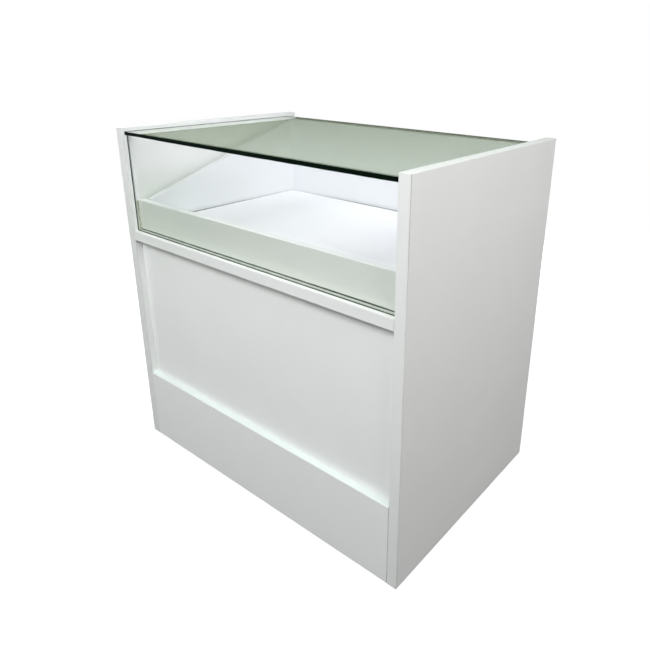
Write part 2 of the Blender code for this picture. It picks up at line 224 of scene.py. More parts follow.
FLOOR_RADIUS, FLOOR_RINGS, FLOOR_SPOKES = 12.0, 24, 96
GLOW_REACH, GLOW = (0.8, 2.2), (0.66, 1.0)  # metres from the middle, and the glow at both
LIT_REACH, LIT_PAPER, BLACK = (0.9, 3.5), (0.5, 0.5, 0.5), (0.0, 0.0, 0.0)
DARK_GREY = (0.05, 0.05, 0.05, 1)
PATCH_CENTRE, PATCH_REACH = (-2.9, -1.7, 0.0), (0.6, 2.3)
PATCH_COLOUR, MIRRORED_WHITE = (0.25, 0.36, 0.20), (0.9, 0.9, 0.9)
floor = make_mesh("floor", *disc(FLOOR_RADIUS, FLOOR_RINGS, FLOOR_SPOKES))
paper, tree, surface = new_material("white_floor")
place = object_place(tree)
away = distance(tree, place, (0.0, 0.0, 0.0))
glow = step(tree, "Emission", None, (1, 1, 1, 1), ramp(tree, away, *GLOW_REACH, *GLOW))
lit = step(tree, "BsdfDiffuse", None, tint(tree, ramp(tree, away, *LIT_REACH), LIT_PAPER, BLACK))
bright = step(tree, "AddShader", None, glow, lit)
dark = step(tree, "BsdfDiffuse", None, DARK_GREY)
shown = step(tree, "MixShader", None, seen_rays(tree), dark, bright)
patch = ramp(tree, distance(tree, place, PATCH_CENTRE), *PATCH_REACH)
mirrored = step(tree, "Emission", None, tint(tree, patch, PATCH_COLOUR, MIRRORED_WHITE), 1.0)
glossy = tree.nodes.new("ShaderNodeLightPath").outputs["Is Glossy Ray"]
tree.links.new(step(tree, "MixShader", None, glossy, shown, mirrored), surface)
floor.data.materials.append(paper)
print("floor of", len(floor.data.polygons), "faces")

# %% [markdown]
# Six soft lamps light the set: a tall one and a high one in front, one beside the
# right end, a high and a low one beside the left end, and a low one behind for the
# staff side, which the counter keeps off everything that the photograph shows. A
# lamp that is mirrored in glass shows as a hard white block, so none is seen by
# the camera or through the panes, and only the two high ones at the ends show in
# gloss. The world adds a faint fill. Past the floor the camera, reflections and
# glass see plain white.

# %% Light the studio
def soft_lamp(name, place, aim, size, power, colour, mirrored=False):
    """A rectangular lamp that points from its place to its aim, seen in gloss if mirrored."""
    lamp = bpy.data.objects.new(name, bpy.data.lights.new(name, "AREA"))
    lamp.data.shape = "RECTANGLE"
    lamp.data.size, lamp.data.size_y = size
    lamp.data.energy = power
    lamp.data.color = colour
    turn = (Vector(place) - Vector(aim)).to_track_quat("Z", "Y")
    lamp.matrix_world = Matrix.Translation(place) @ turn.to_matrix().to_4x4()
    lamp.visible_camera = lamp.visible_transmission = False
    lamp.visible_glossy = mirrored
    bpy.context.scene.collection.objects.link(lamp)


COOL_WHITE, WARM_WHITE, WHITE = (0.975, 1.0, 0.995), (1.0, 0.998, 0.986), (1.0, 1.0, 1.0)
FRONT_AIM = (0.0, -0.2, 0.6)
FILL_COLOUR, FILL_STRENGTH = (0.96, 0.98, 1.0, 1), 0.05
soft_lamp("lamp_front", (-0.35, -2.1, 1.75), FRONT_AIM, size=(1.8, 2.3), power=21.8, colour=COOL_WHITE)
soft_lamp("lamp_front_high", (0.3, -2.0, 2.5), FRONT_AIM, size=(1.4, 1.0), power=51.0, colour=COOL_WHITE)
soft_lamp("lamp_end", (1.9, -0.33, 1.95), (0.4, 0.0, 0.72), size=(1.6, 1.0), power=37.5,
          colour=WARM_WHITE, mirrored=True)
soft_lamp("lamp_left", (-2.0, 0.2, 2.1), (-0.3, 0.0, 0.5), size=(1.2, 0.8), power=25.0,
          colour=WHITE, mirrored=True)
soft_lamp("lamp_left_low", (-2.3, 0.0, 0.55), (-0.4, 0.0, 0.5), size=(0.55, 0.6), power=10.0, colour=WHITE)
soft_lamp("lamp_rear", (0.0, 2.3, 0.55), (0.0, 0.3, 0.5), size=(0.8, 0.6), power=23.0, colour=WHITE)
world = bpy.context.scene.world or bpy.data.worlds.new("world")
bpy.context.scene.world = world
world.use_nodes = True
tree = world.node_tree
tree.nodes.clear()
fill = step(tree, "Background", None, FILL_COLOUR, FILL_STRENGTH)
white = step(tree, "Background", None, (1, 1, 1, 1), 1.0)
surface = tree.nodes.new("ShaderNodeOutputWorld").inputs["Surface"]
tree.links.new(step(tree, "MixShader", None, seen_rays(tree), fill, white), surface)

# %% [markdown]
# The glass top is seen almost edge on, so it is half a mirror, and what it
# mirrors is the upper room behind the counter, which is dim and a little green.
# A studio does the same with a card: a band of grey stands round the set, just
# high enough to be mirrored, and shows in reflections alone.

# %% Stand a grey card round the set
def band(radius, low, high, rows, spokes):
    """A wall round the set: the same circle at every height from low to high, facing in."""
    z = np.linspace(low, high, rows)[:, None]
    a = np.linspace(0.0, 2 * np.pi, spokes, endpoint=False)[None, :]
    points = np.stack(np.broadcast_arrays(radius * np.cos(a), radius * np.sin(a), z), -1)
    return points, ring_faces(rows, spokes, flip=True)[0]


def axes(tree, vector):
    """The three parts of a vector, along x, y and z."""
    parts = tree.nodes.new("ShaderNodeSeparateXYZ")
    tree.links.new(vector, parts.inputs[0])
    return parts.outputs


ACROSS, DEEP, UPRIGHT = 0, 1, 2  # numbers of the axes x, y and z
CARD_RADIUS, CARD_FOOT, CARD_TOP = 9.0, 1.05, 7.0
CARD_ROWS, CARD_SPOKES = 12, 64
GREY_HEIGHTS = (1.0, 3.5)
LOWER_GREY, UPPER_GREY = (0.112, 0.147, 0.08), (0.168, 0.198, 0.14)
card = make_mesh("grey_card", *band(CARD_RADIUS, CARD_FOOT, CARD_TOP, CARD_ROWS, CARD_SPOKES))
card.visible_camera = card.visible_diffuse = card.visible_transmission = card.visible_shadow = False
grey, tree, surface = new_material("upper_room")
height = axes(tree, object_place(tree))[UPRIGHT]
shade = tint(tree, ramp(tree, height, *GREY_HEIGHTS), LOWER_GREY, UPPER_GREY)
tree.links.new(step(tree, "Emission", None, shade, 1.0), surface)
card.data.materials.append(grey)
print("card of", len(card.data.polygons), "faces")

# %% [markdown]
# The boards are chipboard faced with white melamine, which is not a plain white:
# the press leaves a fine pearl in it, wiping leaves soft smears in the gloss, and
# the glued edging shows as a hairline just over a millimetre in from each arris,
# where knocks also dull the white. A painted picture could show that, but it would
# have to be fitted to every board. Here the finish is worked out from where a
# point lies: two helpers measure how far it is from the edges of its board, and
# two more turn its place into cloudy or drawn-out noise.

# %% Measure a board and make noise
def arris_distance(tree, place, low, high):
    """How far a point of a board is from its nearest edge.

    Along each axis it takes the gap to the nearer of the two faces. The smallest of the
    three gaps is to the face that the point lies on, so the middle one is to the edge.
    """
    below = step(tree, "VectorMath", {"operation": "SUBTRACT"}, place, tuple(low))
    above = step(tree, "VectorMath", {"operation": "SUBTRACT"}, tuple(high), place)
    x, y, z = axes(tree, step(tree, "VectorMath", {"operation": "MINIMUM"}, below, above))
    least = sums(tree, "MINIMUM", x, y)
    most = sums(tree, "MAXIMUM", x, y)
    return sums(tree, "MAXIMUM", least, sums(tree, "MINIMUM", most, z))


def end_distance(tree, place, axis, end):
    """How far a point is from one end of a board, measured along one axis."""
    return sums(tree, "ABSOLUTE", sums(tree, "SUBTRACT", axes(tree, place)[axis], end))


def noise(tree, place, scale, detail):
    """Cloudy noise from 0 to 1 with about scale clouds to the metre."""
    return step(tree, "TexNoise", None, Vector=place, Scale=scale, Detail=detail)


def stretched(tree, place, scale, turn=(0, 0, 0)):
    """The same place, multiplied along each axis and then turned, which draws noise out."""
    return step(tree, "Mapping", None, place, (0, 0, 0), turn, scale)


def principled(tree, surface, **inputs):
    """Puts Blender's general shader on the surface, with these inputs."""
    tree.links.new(step(tree, "BsdfPrincipled", None, **inputs), surface)


print("noise and distance helpers ready")

# %% [markdown]
# Every board gets its own copy of the laminate, because the finish has to know
# where that board's edges are. Three things come on some boards only: a colour of
# its own on the faces that turn up, here called its crown, which is painted light
# and shade; a band of painted shade round its outline, where a gap would be in
# shade; and a dark line along one end, which is painted shade, on one board over a
# real joint. They are options of one recipe rather than recipes of their own,
# since the white under them is the same.

# %% Mix the laminate
MIDDLING = (0.3, 0.7)  # values of a noise between which a ramp on it runs
CLOUD_SHADE = 0.985  # of the white, in its darker clouds
KNOCK_REACH, KNOCK_SPAN, KNOCK_SHARE = (0.0016, 0.0004), (0.45, 0.7), 0.4  # reach in metres
HAIRLINE_INSET, HAIRLINE_REACH, HAIRLINE_SHARE = 0.0013, (0.0003, 0.0001), 0.15
WORN_WHITE = (0.66, 0.66, 0.64)
SMEAR_SCALE, SMEAR_TURN, SMEAR_SPAN = (5.0, 5.0, 22.0), (0.3, 0.2, 0.4), (0.25, 0.75)
BOARD_ROUGHNESS, KNOCK_ROUGHNESS = (0.30, 0.40), 0.18
FACING_UP = (0.5, 0.8)  # how far a face has to turn up to take the crown
SEAM_CORE, GAP_CORE = 0.5, 0.75  # share of the width at which a line is at its full strength
GAP_SHADE_COLOUR, CORNER_FADE_REACH, CORNER_FADE_LEAST = (0.012, 0.014, 0.012), 0.35, 0.25


def joint_and_shade_line(tree, colour, place, corners, axis, end, width, shade, rise):
    """A board's colour with a line of another shade along one end of it.

    The line is measured along the axis from that end, and comes in between the two
    heights of rise. Along the top of the front panel it is painted shade under the
    deck; at the front of the right side panel it is the dark joint of the edging, and
    its fade with height is painted shade.
    """
    line = ramp(tree, end_distance(tree, place, axis, corners[end][axis]), width, SEAM_CORE * width)
    line = sums(tree, "MULTIPLY", line, ramp(tree, end_distance(tree, place, UPRIGHT, 0.0), *rise))
    return tint(tree, line, colour, shade)


def laminate(name, low, high, white, crown=None, joint=0.0, seam=None):
    """White melamine on a board between two corners.

    Crown is a colour of its own for the faces that turn up, painted light and shade.
    Joint is how far in from its edges a band of painted shade reaches, weaker towards
    the left rear corner, and seam is what the dark line helper above has to know.
    """
    material, tree, surface = new_material(name)
    place = object_place(tree)
    edge = arris_distance(tree, place, low, high)
    dents = ramp(tree, noise(tree, place, scale=90.0, detail=4.0), *KNOCK_SPAN, high=KNOCK_SHARE)
    knock = sums(tree, "MULTIPLY", ramp(tree, edge, *KNOCK_REACH), dents)
    off_line = sums(tree, "ABSOLUTE", sums(tree, "SUBTRACT", edge, HAIRLINE_INSET))
    hairline = ramp(tree, off_line, *HAIRLINE_REACH, high=HAIRLINE_SHARE)
    cloud = ramp(tree, noise(tree, place, scale=7.0, detail=3.0), *MIDDLING)
    colour = tint(tree, cloud, tuple(CLOUD_SHADE * v for v in white), white)
    colour = tint(tree, sums(tree, "MAXIMUM", knock, hairline), colour, WORN_WHITE)
    # painted light and shade: faces that turn up take a colour of their own
    if crown:
        normal = tree.nodes.new("ShaderNodeTexCoord").outputs["Normal"]
        colour = tint(tree, ramp(tree, axes(tree, normal)[UPRIGHT], *FACING_UP), colour, crown)
    # a dark line along one end: painted shade under the deck on the front panel, and on the right side
    # panel a joint line whose fade with height is painted shade
    if seam:
        colour = joint_and_shade_line(tree, colour, place, (low, high), **seam)
    smear = noise(tree, stretched(tree, place, SMEAR_SCALE, SMEAR_TURN), scale=1.0, detail=4.0)
    gloss = ramp(tree, smear, *SMEAR_SPAN, *BOARD_ROUGHNESS)
    gloss = sums(tree, "ADD", gloss, sums(tree, "MULTIPLY", knock, KNOCK_ROUGHNESS))
    # painted shade: a dark band round the board's outline, weaker towards the left rear corner
    if joint:
        left_rear = (low[ACROSS], high[DEEP], high[UPRIGHT])
        corner_fade = ramp(tree, distance(tree, place, left_rear), 0.0, CORNER_FADE_REACH, low=CORNER_FADE_LEAST)
        gap = sums(tree, "MULTIPLY", ramp(tree, edge, joint, GAP_CORE * joint), corner_fade)
        colour = tint(tree, gap, colour, GAP_SHADE_COLOUR)
        gloss = sums(tree, "MAXIMUM", gloss, gap)
    pearl = noise(tree, place, scale=1400.0, detail=1.0)
    bump = step(tree, "Bump", None, Strength=0.25, Distance=0.00003, Height=pearl)
    principled(tree, surface, Base_Color=colour, Roughness=gloss, IOR=1.5, Normal=bump)
    return material


print("laminate recipe ready")

# %% [markdown]
# The whites here were matched to the photograph board by board, and several of
# them are painted light and shade: the fascia and the tray's back board are
# darker, as painted shade, and the tray's floor and the left side panel whiter,
# as painted light. The deck and the left edging are a little darker than the
# rest. A band of painted shade runs round the tray's floor, where it meets its
# walls. A dark line at the front of the right side panel marks the joint of its
# edging, and its fade towards the bottom is painted shade. A grey band where the
# front panel meets the deck is painted shade under the rail. The faces of some
# boards that turn up have a colour of their own, as painted light and shade. The
# CAD boards have the right shape, so they stay, and only their finish is set.

# %% Laminate the boards
def dress(node, material):
    """Gives one CAD piece this material and no other."""
    slots = frame["nodes"][node].data.materials
    slots.clear()
    slots.append(material)


NEAR_END, FAR_END = 0, 1  # lower and upper end of a board along an axis
WHITES = {
    "carcass_laminate": (0.83, 0.835, 0.825),
    "tray_laminate": (0.82, 0.828, 0.86),
    "edging": (0.78, 0.785, 0.775),
}
# painted light and shade: the fascia and tray back board darker, the tray floor and left side panel whiter
WHITES_AND_PAINTED_LIGHT = {
    "display_fascia": (0.72, 0.735, 0.70),
    "display_deck": (0.79, 0.795, 0.785),
    "side_panel_left": (0.875, 0.89, 0.88),
    "drawer_face": (0.83, 0.835, 0.825),
    "edge_band_left": (0.762, 0.766, 0.762),
    "tray_base": (0.935, 0.925, 0.975),
    "tray_back_board": (0.73, 0.732, 0.768),
}
# painted light and shade: the colour of the faces of these boards that turn up
PAINTED_TOP_FACES = {
    "display_fascia": (0.83, 0.83, 0.85),
    "tray_side_left": (0.69, 0.70, 0.71),
    "tray_side_right": (0.69, 0.70, 0.71),
    "side_panel_left": (0.80, 0.845, 0.83),
    "side_panel_right": (0.75, 0.775, 0.765),
    "kick_board": (0.73, 0.795, 0.78),
}
# painted shade: a dark band round the tray floor, in the gap to its walls
SHADED_GAPS = {"tray_base": 0.0060}
# painted shade under the deck on the front panel; a joint line on the right side panel, faded with height
# as painted shade
JOINT_AND_SHADE_LINES = {
    "side_panel_right": dict(
        axis=DEEP, end=NEAR_END, width=0.0009, shade=(0.47, 0.47, 0.46), rise=(0.60, 0.78)
    ),
    "front_panel": dict(
        axis=UPRIGHT, end=FAR_END, width=0.0030, shade=(0.53, 0.51, 0.48), rise=(0.0, 0.01)
    ),
}
boards = [node for node, slot in finish_of.items() if slot in WHITES]
for node in boards:
    white = WHITES_AND_PAINTED_LIGHT.get(node, WHITES[finish_of[node]])
    options = PAINTED_TOP_FACES.get(node), SHADED_GAPS.get(node, 0.0), JOINT_AND_SHADE_LINES.get(node)
    dress(node, laminate("laminate_" + node, *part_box(node), white, *options))
print("laminated", len(boards), "boards")

# %% [markdown]
# Both panes are 8 mm float glass. Seen through its face such glass is nearly
# clear, and through its cut edge it is deep green, because the eye then looks
# along the whole width of the pane. A solid with absorption would do that in
# principle but renders slowly, so each pane is made anew as a profile carried
# round its outline, with clear glass on its faces and a dark finish on its edges.

# %% Make the panes
CLEAR, DARK, PALE = 0, 1, 2  # material slots of a pane
ARRIS = 0.0004
FOOT_FACE = 4  # the lower cut edge: the first face after the four of the first arris


def pane(name, low, high, thin):
    """A flat pane, thin along one axis.

    Its section runs from one face over a ground arris, down the cut edge and over the other
    arris to the other face. At each step the four corners of the outline move in by the
    section's inset and take the section's height.
    """
    low, high = np.array(low), np.array(high)
    along = [axis for axis in (ACROSS, DEEP, UPRIGHT) if axis != thin]
    inset = np.array([ARRIS, 0.0, 0.0, ARRIS])
    height = np.array([high[thin], high[thin] - ARRIS, low[thin] + ARRIS, low[thin]])
    turn = np.array([[-1, -1], [1, -1], [1, 1], [-1, 1]])
    middle, half = (low + high)[along] / 2, (high - low)[along] / 2
    points = np.zeros((len(height), len(turn), 3))
    points[:, :, along] = middle + turn[None] * (half - inset[:, None, None])
    points[:, :, thin] = height[:, None]
    sides, lids = ring_faces(len(height), len(turn), flip=thin != DEEP)
    piece = make_mesh(name, points, sides + lids, smooth=False)
    slots = np.array([DARK] * len(sides) + [CLEAR] * len(lids), np.int32)
    piece.data.polygons.foreach_set("material_index", slots)
    return piece


top_pane = pane("top_pane", *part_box("top_glass"), thin=UPRIGHT)
front_pane = pane("front_pane", *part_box("front_glass"), thin=DEEP)
# the foot takes the pale slot: painted light from the white deck under it
front_pane.data.polygons[FOOT_FACE].material_index = PALE
for piece, node in ((top_pane, "top_glass"), (front_pane, "front_glass")):
    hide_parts(node)
    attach(piece, "cabinet")
    print(piece.name, len(piece.data.polygons), "faces")

# %% [markdown]
# Real glass bends the light that passes through it, and a renderer finds that
# light only by luck, so a room behind glass comes out dark and noisy. The usual
# cure is used here: rays that carry light from lamps, straight or off a board,
# pass through a pale green film, and the rays that the camera follows meet true
# glass. The foot of the front pane stands on white laminate, which would shine up
# through it, so its cut edge there is painted pale green, not dark: painted light
# in place of that light.

# %% Mix the glass
EDGE_MARKS, EDGE_ROUGHNESS = (12.0, 12.0, 900.0), (0.3, 0.45)
WIPE_SPAN, WIPE_ROUGHNESS = (0.35, 0.8), (0.0, 0.02)
FILM = (0.94, 0.946, 0.945, 1)


def cut_edge(name, dark, pale, shine):
    """The cut edge of a pane, with fine grinding marks along it."""
    material, tree, surface = new_material(name)
    marks = noise(tree, stretched(tree, object_place(tree), EDGE_MARKS), scale=1.0, detail=3.0)
    colour = tint(tree, ramp(tree, marks, *MIDDLING), dark, pale)
    gloss = ramp(tree, marks, *MIDDLING, *EDGE_ROUGHNESS)
    principled(tree, surface, Base_Color=colour, Roughness=gloss, Specular_IOR_Level=shine)
    return material


def float_glass(name, green):
    """A pane's face: true glass with faint wiping marks, and a film for the light of the lamps."""
    material, tree, surface = new_material(name)
    wipes = noise(tree, object_place(tree), scale=9.0, detail=4.0)
    gloss = ramp(tree, wipes, *WIPE_SPAN, *WIPE_ROUGHNESS)
    glass = step(tree, "BsdfPrincipled", None, Base_Color=(*green, 1.0), Roughness=gloss,
                 IOR=1.52, Transmission_Weight=1.0)
    film = step(tree, "BsdfTransparent", None, FILM)
    path = tree.nodes.new("ShaderNodeLightPath").outputs
    bounced = step(tree, "MixShader", None, path["Is Diffuse Ray"], glass, film)
    tree.links.new(step(tree, "MixShader", None, path["Is Shadow Ray"], bounced, film), surface)
    return material


front_clear = float_glass("front_glass_clear", green=(0.955, 0.97, 0.958))
top_clear = float_glass("top_glass_clear", green=(0.82, 0.90, 0.78))
dark_edge = cut_edge("glass_edge", dark=(0.0008, 0.003, 0.0015), pale=(0.002, 0.007, 0.004), shine=0.02)
# painted light: a pale green for the foot of the front pane, where the white deck would shine up through
# it
lit_foot_edge = cut_edge("glass_foot_painted_light", dark=(0.62, 0.74, 0.58), pale=(0.74, 0.85, 0.70), shine=0.3)
for piece, clear in ((top_pane, top_clear), (front_pane, front_clear)):
    for material in (clear, dark_edge, lit_foot_edge):
        piece.data.materials.append(material)
print("glass on", top_pane.name, "and", front_pane.name)

# %% [markdown]
# Sealant, adhesive and filler close the joints round the display. Each is a small
# fillet in a corner. A curve with a bevel could draw it, but a bead run by hand is
# never even, so the fillet is a section carried along a line while its size
# wanders.

# %% Shape a bead
ROW_SPACING, LEAST_ROWS = 0.006, 40
WAVES, WANDER = (23.0, 61.0, 140.0), 0.04  # radians to the metre, and the share each adds
ARC_POINTS, ARC_BOW = 6, 0.75  # the bow is the part of the arc that a sine gives


def bead(name, start, end, first, second, size, drops=()):
    """A fillet in a corner between two walls, carried from start to end.

    Its section runs from the corner out along the first wall, back to the second wall on an
    arc that bows towards the corner, and home. A wall's direction that is longer or shorter
    than one spreads the fillet along that wall or keeps it narrow. The size wanders on three
    slow waves of a few hundredths each. A drop is a place from 0 to 1 along the bead, the
    share that it adds and its width in metres: the size swells there as a bell does, or
    thins where the share is below 0.
    """
    start, end = np.array(start), np.array(end)
    length = np.linalg.norm(end - start)
    t = np.linspace(0.0, 1.0, max(LEAST_ROWS, int(length / ROW_SPACING)))
    wander = sum(np.sin(wave * length * t + wave) for wave in WAVES) * WANDER
    bells = [share * np.exp(-(((t - at) * length / width) ** 2)) for at, share, width in drops]
    reach = size * (1.0 + wander + sum(bells, 0.0 * t))
    a = np.linspace(0.0, np.pi / 2, ARC_POINTS)
    out = np.concatenate([[0.0], 1.0 - ARC_BOW * np.sin(a) - (1.0 - ARC_BOW) * a / (np.pi / 2)])
    up = np.concatenate([[0.0], out[1:][::-1]])
    section = out[:, None] * np.array(first) + up[:, None] * np.array(second)
    line = start + t[:, None] * (end - start)
    points = line[:, None] + reach[:, None, None] * section[None]
    backwards = np.dot(np.cross(first, second), end - start) < 0
    sides, lids = ring_faces(len(t), len(out), flip=backwards)
    return make_mesh(name, points, sides + lids)


print("a bead's section has", ARC_POINTS + 1, "points")

# %% [markdown]
# A bead could be placed with typed-in numbers, but then it would stay behind when
# a board changes. Here every place comes from the boxes of the CAD pieces that
# the bead joins. Most beads either climb a corner or cross the counter between
# its side panels, so two helpers take up what those have in common.

# %% Find the joints of the display
front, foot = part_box("top_glass")[0].yz
rear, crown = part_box("top_glass")[1].yz
pane_low, pane_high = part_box("front_glass")
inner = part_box("side_panel_right")[0].x
UP, DOWN, FORE, AFT = (0, 0, 1), (0, 0, -1), (0, -1, 0), (0, 1, 0)
SIDES = (("left", -1), ("right", 1))


def upright_bead(name, x, y, low, high, first, second, size):
    """A bead that climbs from one height to another."""
    return bead(name, (x, y, low), (x, y, high), first, second, size)


def cross_bead(name, y, z, first, second, size, margin, drops=()):
    """A bead from one side panel to the other, less a margin at each end."""
    return bead(name, (-inner + margin, y, z), (inner - margin, y, z), first, second, size, drops)


print("the display is", round(2000 * inner), "mm wide between its side panels")

# %% [markdown]
# Dark sealant runs up the front pane's ends, along the top pane's ends, and along
# the foot of the front pane. A dark bead along the foot of the low fascia behind it
# is painted shade, standing in for the shade of the gap under the fascia, and up
# the fascia's own two ends a wider olive bead is painted shade in the gaps beside
# it. One tube could follow all these corners, but beads that are run one by one
# meet in small steps, so each is a piece of its own.

# %% Run the sealant and the beads of painted shade
fascia_low, fascia_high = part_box("display_fascia")
deck_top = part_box("display_deck")[1].z
TOP_MARGIN, FASCIA_MARGIN, FASCIA_FOOT_SHADE_LIFT = 0.001, 0.002, 0.0009
FOOT_SPREAD, FASCIA_SPREAD, END_SPREAD = 1.4, 0.4, 0.3  # lengths of walls' directions
beads = [
    upright_bead("seal_front_" + side, sign * inner, pane_low.y, pane_low.z, pane_high.z,
                 (-sign, 0, 0), FORE, size=0.0014)
    for side, sign in SIDES
]
beads += [
    bead("seal_top_" + side, (sign * inner, front + TOP_MARGIN, crown),
         (sign * inner, rear - TOP_MARGIN, crown), (-sign, 0, 0), UP, size=0.0006)
    for side, sign in SIDES
]
beads += [
    cross_bead("seal_foot", pane_low.y, deck_top, (0, -FOOT_SPREAD, 0), UP, size=0.0015, margin=0.0015),
    # painted shade: a dark bead along the fascia's foot stands in for the shade of the gap under it
    cross_bead("fascia_foot_shade", fascia_low.y, deck_top + FASCIA_FOOT_SHADE_LIFT,
               (0, -FASCIA_SPREAD, 0), UP, size=0.0029, margin=0.001),
]
# painted shade: wider olive beads up the fascia's ends stand in for the shade in the gaps beside it
fascia_gap_shades = [
    upright_bead("fascia_gap_shade_" + side, sign * inner, fascia_low.y, deck_top,
                 fascia_high.z - FASCIA_MARGIN, FORE, (-sign * END_SPREAD, 0, 0), size=0.0055)
    for side, sign in SIDES
]
print("sealant:", [piece.name for piece in (*beads, *fascia_gap_shades)])

# %% [markdown]
# White filler rounds the tray's rear corners, and rides with the tray. Adhesive
# joins the two panes behind their corner, where two drops were squeezed out. In
# front, under the top pane's overhang, a dark bond fills the corner and thins out
# towards its left end. A drop could be a ball set on the bead, but as a swell in
# the bead's own size it has no seam.

# %% Fill the corners and bond the panes
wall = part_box("tray_side_right")[0].x
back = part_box("tray_back_board")[0].y
tray_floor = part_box("tray_base")[1].z
FILL_FOOT_GAP, FILL_TOP_GAP = 0.002, 0.008
BOND_SPREAD = 0.8
PANE_DROPS = [(0.769, 3.0, 0.003), (0.857, 2.5, 0.003)]
THIN_LEFT_END = [(0.0, -0.6, 0.15)]
corners = [
    upright_bead("corner_fill_" + side, sign * wall, back, tray_floor + FILL_FOOT_GAP,
                 foot - FILL_TOP_GAP, (-sign, 0, 0), FORE, size=0.0022)
    for side, sign in SIDES
]
bond = cross_bead("pane_bond", pane_high.y, foot, AFT, DOWN, size=0.0007, margin=0.001, drops=PANE_DROPS)
bond_front = cross_bead("bond_front", pane_low.y, foot, (0, -BOND_SPREAD, 0), DOWN,
                        size=0.0026, margin=0.002, drops=THIN_LEFT_END)
beads.append(bond_front)
for piece in (*beads, *fascia_gap_shades, bond, *corners):
    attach(piece, "tray" if piece in corners else "cabinet")
    print(piece.name, len(piece.data.polygons), "faces")

# %% [markdown]
# The tray has to pass under the glass, which leaves a slot a few millimetres high
# above its back board, and a strip of felt under the rear margin of the glass
# keeps dust out. It could be a plain bar, but felt is soft along its lower side,
# so its section is a flat top on half a flattened oval, carried along the glass,
# and the pile is a slow ripple on it.

# %% Stick the felt strip under the glass
FELT_ROWS, FELT_POINTS = 90, 12
TAPER_START = 0.3  # share of the way from the middle to the right end
LONG_RIPPLE, LONG_WAVE = 0.03, 170.0  # share of the drop, and radians to the metre
SHORT_RIPPLE, SHORT_WAVE, SHORT_TWIST = 0.02, 410.0, 9.0  # the twist slants it round the section
FELT_END_GAP, FELT_REAR_GAP, FELT_TOP_GAP, FELT_FOOT_GAP = 0.004, 0.001, 0.0001, 0.0007


def felt_strip(name, start, end, rear_line, width, narrow, top, depth):
    """A closed section carried along x: half a flattened oval hung under a flat top.

    At angle a its half width is the square root of the cosine and its drop that of the sine.
    The drop ripples along the strip by a few hundredths. From a little right of the middle
    to its right end the strip narrows towards its rear line, as one that was cut by hand.
    """
    x = np.linspace(start, end, FELT_ROWS)[:, None]
    a = np.linspace(0.0, np.pi, FELT_POINTS)[None, :]
    half = np.interp(x, [start, TAPER_START * end, end], [width, width, narrow]) / 2
    across = half * (np.sign(np.cos(a)) * np.sqrt(np.abs(np.cos(a))) - 1.0)
    slow = LONG_RIPPLE * np.sin(LONG_WAVE * x)
    quick = SHORT_RIPPLE * np.sin(SHORT_WAVE * x + SHORT_TWIST * a)
    deepest = 1.0 + LONG_RIPPLE + SHORT_RIPPLE
    drop = np.sqrt(np.sin(a).clip(0.0)) * depth * (1.0 + slow + quick) / deepest
    points = np.stack(np.broadcast_arrays(x, rear_line + across, top - drop), -1)
    sides, lids = ring_faces(FELT_ROWS, FELT_POINTS, flip=True)
    return make_mesh(name, points, sides + lids)


slot_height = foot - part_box("tray_back_board")[1].z
felt = felt_strip(
    "dust_felt", -inner + FELT_END_GAP, inner - FELT_END_GAP, rear - FELT_REAR_GAP,
    width=0.011, narrow=0.005, top=foot - FELT_TOP_GAP, depth=slot_height - FELT_FOOT_GAP,
)
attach(felt, "cabinet")
print(felt.name, len(felt.data.polygons), "faces in a slot of", round(1000 * slot_height, 1), "mm")

# %% [markdown]
# Cured sealant is a dark rubber: dull and a little uneven. The beads at the
# fascia's ends are olive, as painted shade in the gaps there, and the dark bead
# along the fascia's foot is painted shade in the sealant's colour. The filler in
# the tray is as white as its boards, the adhesive behind the panes is a dark green
# with some gloss, and felt has none. They differ in colour and in roughness alone,
# so one recipe makes them all.

# %% Mix the sealants, the filler and the felt
LUMP_SPAN = (0.35, 0.7)
RUBBER_SHINE = 0.15


def rubber(name, dark, pale, rough):
    """Cured rubber: cloudy between two colours, dull between two roughnesses, slightly lumpy."""
    material, tree, surface = new_material(name)
    lumps = noise(tree, object_place(tree), scale=220.0, detail=3.0)
    colour = tint(tree, ramp(tree, lumps, *LUMP_SPAN), dark, pale)
    gloss = ramp(tree, lumps, *MIDDLING, *rough)
    bump = step(tree, "Bump", None, Strength=0.3, Distance=0.0001, Height=lumps)
    principled(tree, surface, Base_Color=colour, Roughness=gloss, Normal=bump,
               Specular_IOR_Level=RUBBER_SHINE)
    return material


# the sealant's colour is also on the dark bead along the fascia's foot, where it is painted shade
sealant = rubber("sealant", dark=(0.010, 0.028, 0.007), pale=(0.024, 0.050, 0.016), rough=(0.5, 0.65))
# painted shade: the olive of the beads up the fascia's ends
olive = rubber("olive_painted_shade", dark=(0.28, 0.33, 0.20), pale=(0.42, 0.47, 0.33), rough=(0.4, 0.55))
filler = rubber("corner_filler", dark=(0.80, 0.808, 0.84), pale=(0.83, 0.838, 0.87), rough=(0.35, 0.5))
adhesive = rubber("pane_adhesive", dark=(0.05, 0.07, 0.05), pale=(0.09, 0.12, 0.09), rough=(0.15, 0.3))
dark_felt = rubber("felt", dark=(0.010, 0.016, 0.011), pale=(0.028, 0.036, 0.026), rough=(0.85, 0.98))
trim = [(beads, sealant), (fascia_gap_shades, olive), (corners, filler), ([bond], adhesive), ([felt], dark_felt)]
for pieces, material in trim:
    for piece in pieces:
        piece.data.materials.append(material)
print("trim finished:", {material.name: len(pieces) for pieces, material in trim})

# %% [markdown]
# The runners and shelf pins are steel plated with zinc, which has a fine grain
# and a faint blue-grey bloom. The finger pull is aluminium, brushed along its
# length and anodised. Both are metals, so nearly all of their look comes from how
# rough they are and in which direction: noise drawn out along the grain gives
# that without any picture. The dowels are beech, which takes the same noise in
# two browns.

